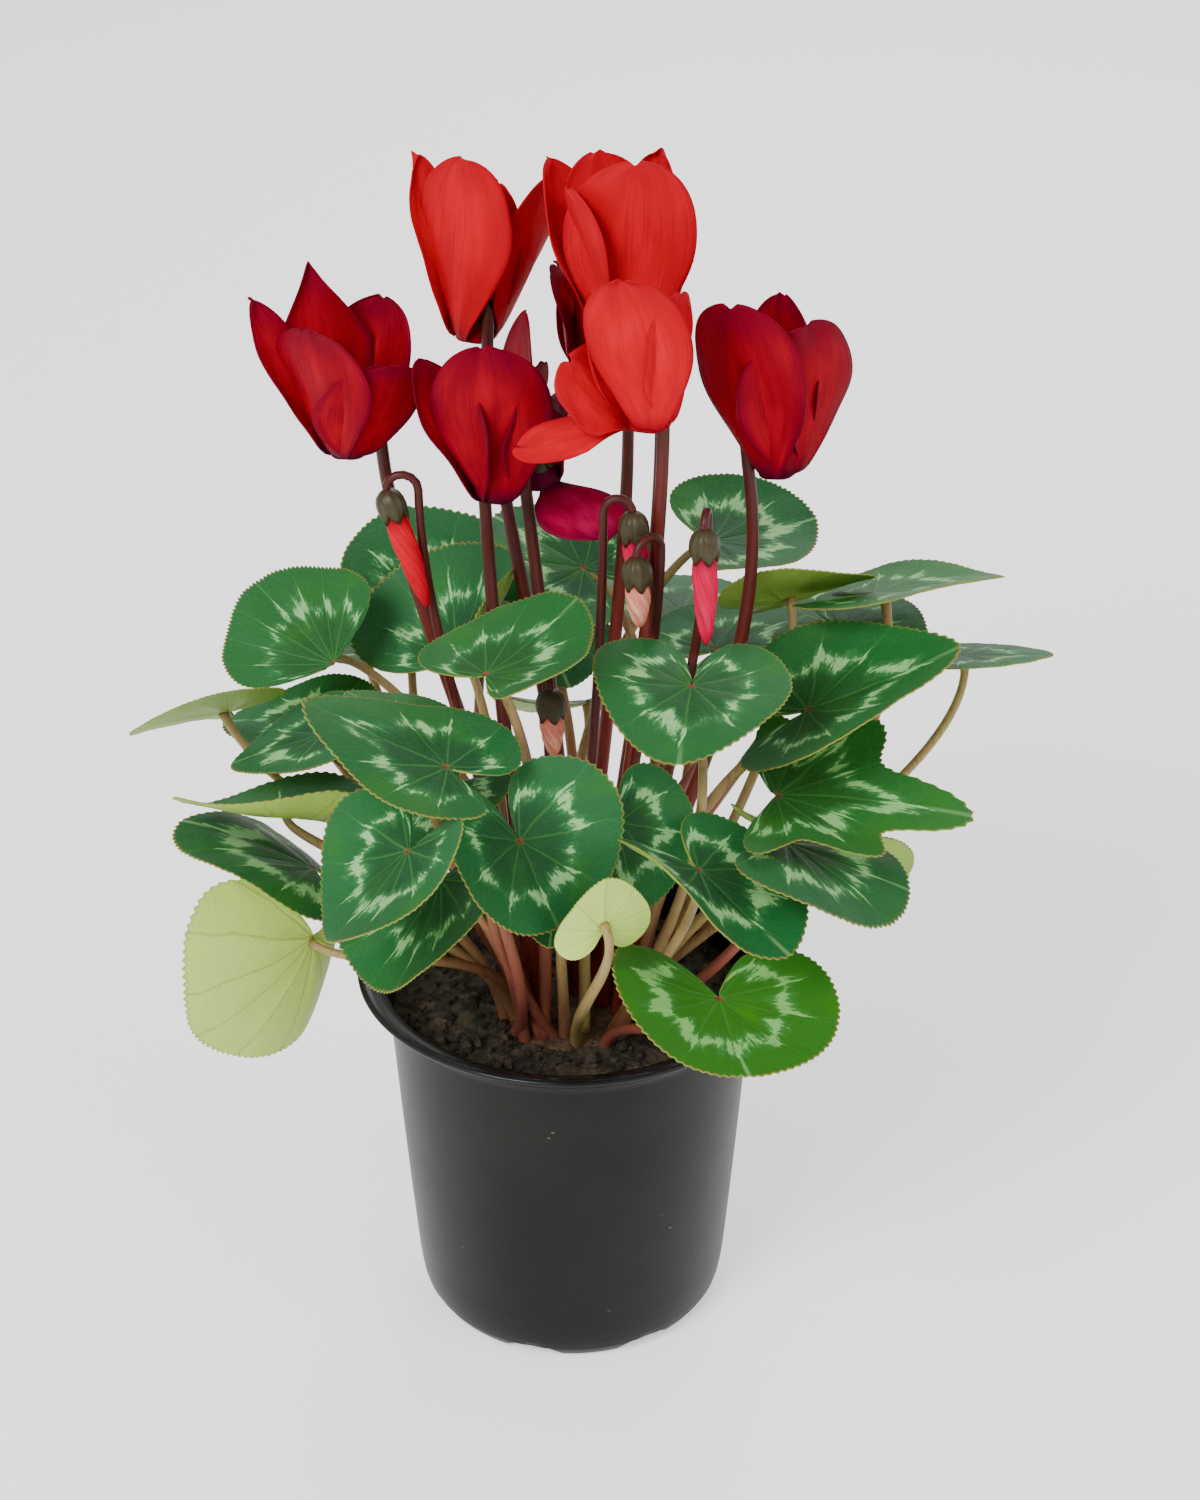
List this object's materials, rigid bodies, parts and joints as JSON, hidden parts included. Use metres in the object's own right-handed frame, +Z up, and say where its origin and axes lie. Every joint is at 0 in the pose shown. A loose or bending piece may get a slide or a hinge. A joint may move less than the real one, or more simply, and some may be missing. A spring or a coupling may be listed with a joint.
{
  "type": "potted cyclamen",
  "caption": "Florist's cyclamen in a black round nursery pot, with marbled heart-shaped leaves, upswept red flowers on hooked stalks and furled drooping buds.",
  "frame": {"origin": "centre of the flat middle of the pot's underside, where the pot's axis meets the surface it stands on", "axes": "+Z up along the pot's axis; the picture looks along +Y, tilted down, with +X to the right"},
  "size_m": [0.2718, 0.2413, 0.3706],
  "materials": {
    "pot_plastic": "satin charcoal-black moulded plastic with small pale scuffs",
    "peat": "matt dark brown crumbly peat",
    "stalks": "fleshy satin stalks, pale terracotta below the leaves and dark red-brown below the flowers",
    "leaf": "leathery satin dark green with a broken silver-green ring, pale underside",
    "petal_scarlet": "soft velvety scarlet",
    "petal_crimson": "soft velvety deep crimson",
    "petal_magenta": "soft velvety magenta-crimson",
    "bud_petal": "satin furled bud, pink to scarlet"
  },
  "bodies": {
    "root": {"pot": "pot_plastic", "soil": "peat", "tuber_with_stalks": "stalks", "leaf_01": "leaf", "leaf_02": "leaf", "leaf_03": "leaf", "leaf_04": "leaf", "leaf_05": "leaf", "leaf_06": "leaf", "leaf_07": "leaf", "leaf_08": "leaf", "leaf_09": "leaf", "leaf_10": "leaf", "leaf_11": "leaf", "leaf_12": "leaf", "leaf_13": "leaf", "leaf_14": "leaf", "leaf_15": "leaf", "leaf_16": "leaf", "leaf_17": "leaf", "leaf_18": "leaf", "leaf_19": "leaf", "leaf_20": "leaf", "leaf_21": "leaf", "leaf_22": "leaf", "leaf_23": "leaf", "leaf_24": "leaf", "leaf_25": "leaf", "leaf_26": "leaf", "leaf_27": "leaf", "leaf_28": "leaf", "leaf_29": "leaf", "leaf_30": "leaf", "leaf_31": "leaf", "leaf_32": "leaf", "leaf_33": "leaf", "leaf_34": "leaf", "leaf_35": "leaf", "leaf_36": "leaf", "leaf_37": "leaf", "leaf_38": "leaf", "leaf_39": "leaf", "bloom_01": "petal_crimson", "bloom_02": "petal_scarlet", "bloom_03": "petal_crimson", "bloom_04": "petal_scarlet", "bloom_05": "petal_crimson", "bloom_06": "petal_scarlet", "bloom_07": "petal_crimson", "bloom_08": "petal_magenta", "bud_01": "bud_petal", "bud_02": "bud_petal", "bud_03": "bud_petal", "bud_04": "bud_petal", "bud_05": "bud_petal"}
  },
  "joints": []
}
